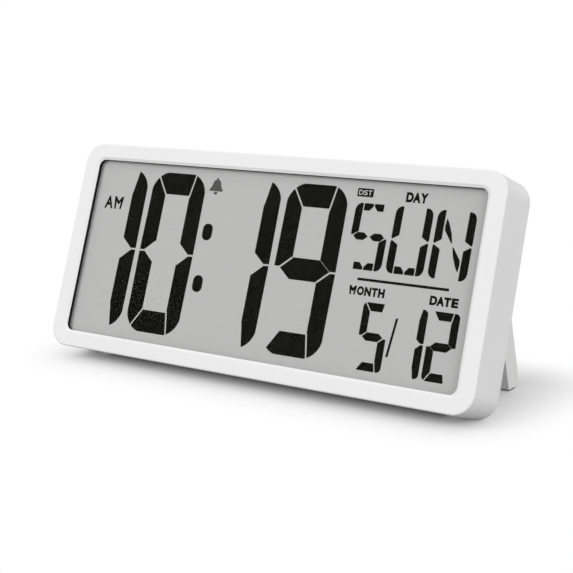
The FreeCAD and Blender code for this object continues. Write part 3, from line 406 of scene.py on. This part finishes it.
def caseSpots(nodeName, reach):
    # Boxes, in case millimetres, of a CAD node's separate parts, which lie further apart than the reach,
    # seen from the back
    upright = leanIn.inverted()
    spots = []
    for v in frame["nodes"][nodeName].data.vertices:
        p = upright @ v.co / mm
        home = None
        for box in spots:
            offX, offZ = [abs((box[0][axis] + box[1][axis]) / 2 - p[axis]) for axis in (0, 2)]
            if offX < reach and offZ < reach:
                home = box
                break
        if home is None:
            spots.append([p.copy(), p.copy()])
            continue
        for axis in range(3):
            home[0][axis] = min(home[0][axis], p[axis])
            home[1][axis] = max(home[1][axis], p[axis])
    return sorted(spots, key=lambda b: (round(b[0].z), b[0].x))


# What the display glass shows beside the lit digits
display = {"face": 4.92, "ink": 0.06, "half": 180.0, "top": 158.0, "bold": 0.062, "light": 0.034}


def displayBox(left, right, top, bottom):
    # From millimetres right of the case's left side and down from its top
    return left - display["half"], right - display["half"], display["top"] - bottom, display["top"] - top


words = (("wordMorning", "AM", "light", (23.4, 41.4, 39.6, 49.2)),
         ("wordDay", "DAY", "bold", (285.3, 301.8, 18.1, 25.0)),
         ("wordMonth", "MONTH", "bold", (253.8, 281.5, 84.4, 90.5)),
         ("wordDate", "DATE", "bold", (315.4, 336.1, 84.6, 90.8)))
for pieceName, word, weight, box in words:
    printedWord(pieceName, word, displayBox(*box), display["face"], display["ink"],
                "displaySegments", "case", display[weight])

# Summer-time mark: a dark plate with light letters
summerMark = {"box": (247.3, 259.8, 18.0, 23.7), "margin": 1.1, "corner": 0.25, "cornerSteps": 3,
              "thick": 0.1, "letterInk": 0.04, "bold": 0.012}


def makeSummerMark():
    left, right, bottom, top = displayBox(*summerMark["box"])
    thick = summerMark["thick"]
    place = ((left + right) / 2 * mm, (display["face"] + thick / 2) * mm, (bottom + top) / 2 * mm)
    size = ((right - left) * mm, thick * mm, (top - bottom) * mm)
    bpy.ops.object.select_all(action="DESELECT")
    bpy.ops.mesh.primitive_cube_add(size=1, location=place, scale=size)
    plate = bpy.context.object
    bpy.ops.object.transform_apply(location=True, rotation=True, scale=True)
    for edge in plate.data.edges:            # the four that run from front to back
        ends = [plate.data.vertices[i].co for i in edge.vertices]
        edge.select = abs(ends[0].y - ends[1].y) > thick / 2 * mm
    bpy.ops.object.mode_set(mode="EDIT")
    bpy.ops.mesh.select_mode(type="EDGE")
    bpy.ops.mesh.bevel(offset=summerMark["corner"] * mm, segments=summerMark["cornerSteps"])
    bpy.ops.object.mode_set(mode="OBJECT")
    settle(plate, "summerPlate", "displaySegments", "case")
    margin, ink = summerMark["margin"], summerMark["letterInk"]
    letterBox = (left + margin, right - margin, bottom + margin, top - margin)
    printedWord("summerLetters", "DST", letterBox, display["face"] - ink, ink,
                "displayFilm", "case", summerMark["bold"])


makeSummerMark()

bell = {"box": (121.0, 133.3, 18.9, 31.4), "body": 0.80, "inkShare": 0.9, "weld": 0.00001,
        "clapper": 0.145, "clapperPoints": 20, "clapperDrop": 0.06, "clapperTop": 0.05,
        "halfWidths": (0.03, 0.06, 0.07, 0.13, 0.215, 0.26, 0.285, 0.305, 0.335, 0.385, 0.45, 0.50, 0.46),
        "heights": (1.0, 0.97, 0.88, 0.83, 0.77, 0.71, 0.62, 0.50, 0.38, 0.27, 0.18, 0.07, 0.0)}


def makeBell():
    # Alarm sign: a disc whose rim points move to the bell's outline, and a half disc below for the clapper
    left, right, bottom, top = [v * mm for v in displayBox(*bell["box"])]
    width, height = right - left, top - bottom
    centreX = (left + right) / 2
    inkY = (display["face"] + display["ink"] / 2) * mm
    foot = top - height * bell["body"]
    steps = len(bell["heights"])
    turn = (math.radians(90), 0, 0)
    bpy.ops.object.select_all(action="DESELECT")
    bpy.ops.mesh.primitive_circle_add(vertices=2 * steps, radius=width / 2, fill_type="NGON",
                                      location=(centreX, inkY, foot), rotation=turn)
    body = bpy.context.object
    bpy.ops.object.transform_apply(location=True, rotation=True, scale=True)
    rim = sorted(shapeRead(body), key=lambda p: math.atan2(p.x - centreX, p.z - foot))
    for place, p in enumerate(rim):
        side = -1 if place < steps else 1
        row = steps - 1 - place if place < steps else place - steps
        p.x = centreX + side * bell["halfWidths"][row] * width
        p.z = foot + bell["heights"][row] * height * bell["body"]
    bpy.ops.mesh.primitive_circle_add(vertices=bell["clapperPoints"], radius=width * bell["clapper"],
                                      fill_type="NGON", rotation=turn,
                                      location=(centreX, inkY, foot - height * bell["clapperDrop"]))
    clapper = bpy.context.object
    bpy.ops.object.transform_apply(location=True, rotation=True, scale=True)
    for p in shapeRead(clapper):
        p.z = max(bottom, min(p.z, foot - height * bell["clapperTop"]))
    body.select_set(True)
    bpy.context.view_layer.objects.active = body
    bpy.ops.object.join()
    bpy.ops.object.mode_set(mode="EDIT")
    bpy.ops.mesh.select_all(action="SELECT")
    bpy.ops.mesh.remove_doubles(threshold=bell["weld"])
    depth = display["ink"] / 2 * mm * bell["inkShare"]
    bpy.ops.mesh.extrude_region_move(TRANSFORM_OT_translate={"value": (0, depth, 0)})
    bpy.ops.mesh.select_all(action="SELECT")
    bpy.ops.mesh.normals_make_consistent(inside=False)
    bpy.ops.object.mode_set(mode="OBJECT")
    settle(body, "bellSign", "greyMark", "case")


makeBell()

# Weekday letters: outlines of one character's strokes, millimetres right of its left side and down from
# its top. Each stroke names its outline and says whether it is mirrored and whether it is turned over
weekday = {
    "lefts": (247.9, 279.5, 311.1), "top": 28.0, "width": 28.4, "height": 45.4,
    "letters": ("afgcd", "fedcb", "febchm"),
    "post": ((5.7, 0), (3.8, 0), (2.0, 0.9), (0.7, 2.4), (0, 4.6), (0, 21.2), (0.6, 22.2), (1.0, 22.2),
             (5.7, 19.4)),
    "bar": ((6.5, 0), (13.8, 0), (13.8, 1.9), (11.0, 5.0), (6.5, 5.0)),
    "middle": ((2.0, 22.7), (5.0, 20.1), (10.2, 20.1), (13.5, 22.7), (10.2, 25.3), (5.0, 25.3)),
    "slant": ((7.3, 5.5), (8.6, 7.2), (9.9, 9.7), (12.3, 15.3), (13.8, 21.6), (13.0, 21.4), (10.9, 18.5),
              (7.0, 13.4), (6.6, 10.5)),
    "strokes": {"f": (("post", 0, 0),), "b": (("post", 1, 0),), "e": (("post", 0, 1),),
                "c": (("post", 1, 1),), "a": (("bar", 0, 0), ("bar", 1, 0)),
                "d": (("bar", 0, 1), ("bar", 1, 1)), "g": (("middle", 0, 0), ("middle", 1, 0)),
                "h": (("slant", 0, 0),), "m": (("slant", 1, 1),)},
    "lean": 0.016, "ruleDepth": 79.7, "ruleGrow": 0.2, "ruleReach": 1, "aboveRule": 2,
}


def inkShape(outline):
    # A disc whose rim points move to the outline, drawn through the ink's thickness
    bpy.ops.object.select_all(action="DESELECT")
    bpy.ops.mesh.primitive_circle_add(vertices=len(outline), radius=mm, fill_type="NGON", location=(0, 0, 0))
    shape = bpy.context.object
    for p, (x, z) in zip(shapeRead(shape), outline):
        p.x, p.y, p.z = x * mm, display["face"] * mm, z * mm
    bpy.ops.object.mode_set(mode="EDIT")
    bpy.ops.mesh.select_all(action="SELECT")
    bpy.ops.mesh.extrude_region_move(TRANSFORM_OT_translate={"value": (0, display["ink"] * mm, 0)})
    bpy.ops.mesh.select_all(action="SELECT")
    bpy.ops.mesh.normals_make_consistent(inside=False)
    bpy.ops.object.mode_set(mode="OBJECT")
    return shape


def uprightCopy(nodeName):
    copy = frame["nodes"][nodeName].copy()
    copy.data = copy.data.copy()
    bpy.context.collection.objects.link(copy)
    pick(copy)
    copy.matrix_world = leanIn.inverted() @ copy.matrix_world
    bpy.ops.object.transform_apply(location=True, rotation=True, scale=True)
    points = shapeRead(copy)
    middle = (min(p.y for p in points) + max(p.y for p in points)) / 2
    for p in points:                         # the ink stays clear of both glasses
        p.y = (display["face"] + (display["ink"] if p.y > middle else 0)) * mm
    return copy


def makeCalendar():
    # The date, the rule and the slash are copied from the CAD, and the weekday is drawn anew
    calendar = uprightCopy("calendar_segments")
    rule = (display["top"] - weekday["ruleDepth"]) * mm
    for v in calendar.data.vertices:
        v.select = v.co.z > rule + weekday["aboveRule"] * mm
        if abs(v.co.z - rule) < weekday["ruleReach"] * mm:
            v.co.z += math.copysign(weekday["ruleGrow"] * mm, v.co.z - rule)
    for part in list(calendar.data.edges) + list(calendar.data.polygons):
        part.select = all(calendar.data.vertices[i].select for i in part.vertices)
    bpy.ops.object.mode_set(mode="EDIT")
    bpy.ops.mesh.select_mode(type="VERT")
    bpy.ops.mesh.delete(type="VERT")
    bpy.ops.object.mode_set(mode="OBJECT")
    shapes = []
    for left, lit in zip(weekday["lefts"], weekday["letters"]):
        for stroke in lit:
            for kind, mirrored, turned in weekday["strokes"][stroke]:
                outline = []
                for x, down in weekday[kind]:
                    x = weekday["width"] - x if mirrored else x
                    down = weekday["height"] - down if turned else down
                    leant = left + x - weekday["lean"] * down
                    outline.append((leant - display["half"], display["top"] - weekday["top"] - down))
                shapes.append(inkShape(outline))
    pick(calendar)
    for shape in shapes:
        shape.select_set(True)
    bpy.ops.object.join()
    settle(calendar, "calendarInk", "displaySegments", "case")
    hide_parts("calendar_segments")


makeCalendar()

# Time digits: the CAD's strokes with rounder outer corners and a slight lean
timeDigits = {"lefts": (11.9, 67.0, 135.3, 190.4), "shifts": (0.4, 0.3, 0.0, 0.3), "width": 50.7,
              "top": 17.4, "height": 121.4, "reach": 1, "corner": 17.0, "lean": 0.009}


def makeTime():
    digits = uprightCopy("time_segments")
    corner, width, height = timeDigits["corner"], timeDigits["width"], timeDigits["height"]
    for p in shapeRead(digits):
        x, down = p.x / mm + display["half"], display["top"] - timeDigits["top"] - p.z / mm
        for left, shift in zip(timeDigits["lefts"], timeDigits["shifts"]):
            if not -timeDigits["reach"] < x - left < width + timeDigits["reach"]:
                continue
            middleX = min(max(x - left, corner), width - corner)
            middleZ = min(max(down, corner), height - corner)
            offX, offZ = x - left - middleX, down - middleZ
            pull = min(corner / max(math.hypot(offX, offZ), corner), 1)
            down = middleZ + offZ * pull
            across = left + middleX + offX * pull + shift - timeDigits["lean"] * down
            p.x = (across - display["half"]) * mm
            p.z = (display["top"] - timeDigits["top"] - down) * mm
            break
    settle(digits, "timeInk", "displaySegments", "case")
    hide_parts("time_segments")


makeTime()
print("display marks made")


# Words printed beside the keys and the switch on the back, each about its middle
backWords = {"low": 101.0, "high": 103.0, "letter": 1.36, "face": 37.0, "ink": 0.05, "bold": 0.02,
             "middles": {"SET": 34, "UP": 51, "DOWN": 68, "ALARM": 85, "SNOOZE": 102,
                         "OFF": 119.2, "ON": 127.2}}
for word, middle in backWords["middles"].items():
    half = backWords["letter"] * len(word) / 2
    wordBox = (middle - half, middle + half, backWords["low"], backWords["high"])
    printedWord("label" + word.title(), word, wordBox, backWords["face"], backWords["ink"],
                "labelInk", "case", backWords["bold"], True)
print("back words printed")


# Case screws: pan heads with a cross recess, one modelled and the others copied
screw = {"headRadius": 2.6, "headHeight": 1.8, "headPoints": 40, "chamfer": 0.5, "chamferSteps": 4,
         "chamferProfile": 0.6, "crossWidth": 0.75, "crossReach": 1.55, "crossDepth": 1.1,
         "crossNarrow": 0.55, "shankRadius": 1.3, "shankPoints": 20, "tipRadius": 0.7, "threadPitch": 1.6,
         "threadDepth": 0.32, "smooth": 35, "turnStep": 37, "reach": 8}


def applyModifier(obj, kind, name, **values):
    pick(obj)
    change = obj.modifiers.new(name, kind)
    for key, value in values.items():
        setattr(change, key, value)
    bpy.ops.object.modifier_apply(modifier=name)


def makeScrew(length):
    # Its head's underside is at the origin and its shank runs forwards
    turn = (math.radians(-90), 0, 0)
    bpy.ops.object.select_all(action="DESELECT")
    bpy.ops.mesh.primitive_cylinder_add(vertices=screw["headPoints"], radius=screw["headRadius"] * mm,
                                        depth=screw["headHeight"] * mm,
                                        location=(0, screw["headHeight"] / 2 * mm, 0), rotation=turn)
    head = bpy.context.object
    bpy.ops.object.transform_apply(location=True, rotation=True, scale=True)
    topY = screw["headHeight"] * mm
    for edge in head.data.edges:
        edge.select = all(abs(head.data.vertices[i].co.y - topY) < sameSpot for i in edge.vertices)
    bpy.ops.object.mode_set(mode="EDIT")
    bpy.ops.mesh.select_mode(type="EDGE")
    bpy.ops.mesh.bevel(offset=screw["chamfer"] * mm, segments=screw["chamferSteps"],
                       profile=screw["chamferProfile"])
    bpy.ops.object.mode_set(mode="OBJECT")
    half = screw["crossWidth"] / 2
    for wide, tall in ((screw["crossReach"], half), (half, screw["crossReach"])):
        bpy.ops.object.select_all(action="DESELECT")
        bpy.ops.mesh.primitive_cube_add(size=2, location=(0, topY, 0),
                                        scale=(wide * mm, screw["crossDepth"] * mm, tall * mm))
        cutter = bpy.context.object
        bpy.ops.object.transform_apply(location=True, rotation=True, scale=True)
        for p in shapeRead(cutter):          # the recess narrows towards its bottom
            if p.y < topY:
                p.x *= screw["crossNarrow"]
                p.z *= screw["crossNarrow"]
        applyModifier(head, "BOOLEAN", "recess", operation="DIFFERENCE", object=cutter, solver="EXACT")
        bpy.data.objects.remove(cutter)
    # Shank: rings of the thread are every other loop of a stepped rod
    rings = int(length / screw["threadPitch"] * 2)
    bpy.ops.object.select_all(action="DESELECT")
    bpy.ops.mesh.primitive_cylinder_add(vertices=screw["shankPoints"], radius=screw["shankRadius"] * mm,
                                        depth=length * mm, location=(0, -length / 2 * mm, 0), rotation=turn)
    shank = bpy.context.object
    bpy.ops.object.transform_apply(location=True, rotation=True, scale=True)
    for edge in shank.data.edges:
        ends = [shank.data.vertices[i].co for i in edge.vertices]
        edge.select = abs(ends[0].y - ends[1].y) > length * 0.5 * mm
    bpy.ops.object.mode_set(mode="EDIT")
    bpy.ops.mesh.select_mode(type="EDGE")
    bpy.ops.mesh.subdivide(number_cuts=rings - 1)
    bpy.ops.object.mode_set(mode="OBJECT")
    for p in shapeRead(shank):
        step = round(-p.y / (length * mm) * rings)
        grow = 1 - screw["threadDepth"] / screw["shankRadius"] if step % 2 else 1
        taper = screw["tipRadius"] / screw["shankRadius"] if step == rings else 1
        p.x *= grow * taper
        p.z *= grow * taper
    pick(shank)
    head.select_set(True)
    bpy.context.view_layer.objects.active = head
    bpy.ops.object.join()
    bpy.ops.object.shade_smooth_by_angle(angle=math.radians(screw["smooth"]))
    return head


def dressScrews(nodeName, prefix):
    spots = caseSpots(nodeName, screw["reach"])
    first = makeScrew(spots[0][1].y - spots[0][0].y - screw["headHeight"])
    pieces = []
    for number, (low, high) in enumerate(spots, 1):
        copy = first.copy()
        copy.data = first.data.copy()
        bpy.context.collection.objects.link(copy)
        turned = Matrix.Rotation(math.radians(screw["turnStep"] * number), 4, "Y")
        under = Vector(((low.x + high.x) / 2, high.y - screw["headHeight"], (low.z + high.z) / 2)) * mm
        copy.matrix_world = Matrix.Translation(under) @ turned
        pieces.append(settle(copy, prefix + str(number), "zincScrew", "case"))
    bpy.data.objects.remove(first)
    for piece in pieces:
        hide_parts(nodeName)
    print(nodeName, "dressed with", len(pieces), "screws")


dressScrews("case_screws", "caseScrew")


# Battery springs: tapered coils of round wire
coil = {"wire": 0.42, "wirePoints": 8, "wide": 4.3, "narrow": 2.6, "turns": 4.0, "steps": 22,
        "smooth": 50, "reach": 6}


def dressSprings():
    spots = caseSpots("battery_springs", coil["reach"])
    steps = int(coil["steps"] * coil["turns"])
    pieces = []
    for number, (low, high) in enumerate(spots, 1):
        length = high.x - low.x - 2 * coil["wire"]
        bpy.ops.object.select_all(action="DESELECT")
        bpy.ops.mesh.primitive_circle_add(vertices=coil["wirePoints"], radius=coil["wire"] * mm,
                                          location=(coil["wide"] * mm, 0, 0),
                                          rotation=(math.radians(90), 0, 0))
        wire = bpy.context.object
        bpy.ops.object.transform_apply(location=True, rotation=True, scale=True)
        applyModifier(wire, "SCREW", "winding", axis="Z", angle=math.radians(360 * coil["turns"]),
                      screw_offset=length * mm, steps=steps, render_steps=steps)
        for p in shapeRead(wire):
            around = math.hypot(p.x, p.y)
            up = min(max(p.z / (length * mm), 0), 1)
            near = (coil["narrow"] - coil["wide"]) * mm * up
            p.x *= (around + near) / around
            p.y *= (around + near) / around
        pick(wire)
        bpy.ops.object.mode_set(mode="EDIT")
        bpy.ops.mesh.select_mode(type="EDGE")
        bpy.ops.mesh.select_all(action="DESELECT")
        bpy.ops.mesh.select_non_manifold()
        bpy.ops.mesh.fill_holes(sides=0)
        bpy.ops.mesh.select_all(action="SELECT")
        bpy.ops.mesh.normals_make_consistent(inside=False)
        bpy.ops.object.mode_set(mode="OBJECT")
        bpy.ops.object.shade_smooth_by_angle(angle=math.radians(coil["smooth"]))
        forward = 1 if (low.x + high.x) / 2 < sum(cell["ends"]) / 2 else -1
        start = (low.x if forward > 0 else high.x) + forward * coil["wire"]
        turned = Matrix.Rotation(math.radians(90 * forward), 4, "Y")
        base = Vector((start, (low.y + high.y) / 2, (low.z + high.z) / 2)) * mm
        wire.matrix_world = Matrix.Translation(base) @ turned
        pieces.append(settle(wire, "batteryCoil" + str(number), "nickelSpring", "case"))
    for piece in pieces:
        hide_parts("battery_springs")
    print("battery springs wound:", len(pieces))


dressSprings()


# Floor and light: a white table that keeps the shadow near the clock's footprint, a soft key light at the
# left front and a weaker one at the right
studio = {"floorShade": 0.93, "floorBounce": 0.30, "floorRough": 0.9, "ambient": 0.60, "floorSize": 24.0,
          "keptShadow": {"middle": (0, 0.020, 0), "half": (0.146, 0.044, 1), "from": 0.0, "to": 0.080}}


def seenRays(tree):
    # 1 for what the camera, glass or metal sees of the surroundings, 0 for the light that they cast
    rays = addNode(tree, "ShaderNodeLightPath")
    seen = rays.outputs["Is Camera Ray"]
    for kind in ("Is Glossy Ray", "Is Transmission Ray"):
        either = addNode(tree, "ShaderNodeMath", operation="MAXIMUM")
        tree.links.new(seen, either.inputs[0])
        tree.links.new(rays.outputs[kind], either.inputs[1])
        seen = either.outputs["Value"]
    return seen


def makeFloor():
    bpy.ops.object.select_all(action="DESELECT")
    bpy.ops.mesh.primitive_plane_add(size=studio["floorSize"], location=(0, 0, 0))
    floor = bpy.context.object
    floor.name = "studioFloor"
    mat, tree, shader = newFinish("studioFloorPaint")
    shader.inputs["Roughness"].default_value = studio["floorRough"]
    shader.inputs["Specular IOR Level"].default_value = 0.0
    seen = seenRays(tree)
    shade = addNode(tree, "ShaderNodeMix", data_type="RGBA")
    shade.inputs[colourA].default_value = (*[studio["floorBounce"]] * 3, 1)
    shade.inputs[colourB].default_value = (*[studio["floorShade"]] * 3, 1)
    tree.links.new(seen, shade.inputs["Factor"])
    tree.links.new(shade.outputs[mixedColour], shader.inputs["Base Color"])
    # Away from the clock's footprint the table fades to plain white
    kept = studio["keptShadow"]
    coord = addNode(tree, "ShaderNodeTexCoord")
    away = coord.outputs["Object"]
    for operation, value in (("SUBTRACT", kept["middle"]), ("ABSOLUTE", None),
                             ("SUBTRACT", kept["half"]), ("MAXIMUM", (0, 0, 0))):
        step = addNode(tree, "ShaderNodeVectorMath", operation=operation)
        tree.links.new(away, step.inputs[0])
        if value:
            step.inputs[1].default_value = value
        away = step.outputs["Vector"]
    far = addNode(tree, "ShaderNodeVectorMath", operation="LENGTH")
    tree.links.new(away, far.inputs[0])
    fade = addNode(tree, "ShaderNodeMapRange", interpolation_type="SMOOTHSTEP")
    fade.inputs["From Min"].default_value = kept["from"]
    fade.inputs["From Max"].default_value = kept["to"]
    tree.links.new(far.outputs["Value"], fade.inputs["Value"])
    share = addNode(tree, "ShaderNodeMath", operation="MULTIPLY")
    tree.links.new(fade.outputs["Result"], share.inputs[0])
    tree.links.new(seen, share.inputs[1])
    white = addNode(tree, "ShaderNodeEmission", Strength=1.0)
    mix = addNode(tree, "ShaderNodeMixShader")
    tree.links.new(share.outputs["Value"], mix.inputs["Fac"])
    tree.links.new(shader.outputs["BSDF"], mix.inputs[1])
    tree.links.new(white.outputs["Emission"], mix.inputs[2])
    tree.links.new(mix.outputs["Shader"], tree.nodes["Material Output"].inputs["Surface"])
    floor.data.materials.append(mat)


makeFloor()


def makeWorld():
    # The surroundings are seen plain white, and cast the light of a dimmer white
    world = bpy.data.worlds.new("studioWorld")
    bpy.context.scene.world = world
    world.use_nodes = True
    tree = world.node_tree
    ground = tree.nodes["Background"]
    level = addNode(tree, "ShaderNodeMapRange")
    level.inputs["To Min"].default_value = studio["ambient"]
    level.inputs["To Max"].default_value = 1.0
    tree.links.new(seenRays(tree), level.inputs["Value"])
    tree.links.new(level.outputs["Result"], ground.inputs["Strength"])
    ground.inputs["Color"].default_value = (1, 1, 1, 1)


makeWorld()

lamps = ({"name": "keySoftbox", "place": (-2.6, -4.6, 2.9), "aim": (0, 0, 0.08), "size": 3.0, "power": 165.0},
         {"name": "sideSoftbox", "place": (4.4, -1.6, 1.6), "aim": (0, 0, 0.08), "size": 3.0, "power": 91.0})
for lamp in lamps:
    bpy.ops.object.select_all(action="DESELECT")
    bpy.ops.object.light_add(type="AREA", location=lamp["place"])
    light = bpy.context.object
    light.name = lamp["name"]
    light.data.shape = "SQUARE"
    light.data.size = lamp["size"]
    light.data.energy = lamp["power"]
    light.visible_glossy = False      # kept out of the lens
    light.rotation_euler = (Vector(lamp["aim"]) - Vector(lamp["place"])).to_track_quat("-Z", "Y").to_euler()
bpy.context.scene.view_settings.view_transform = "Standard"
print("studio lit")
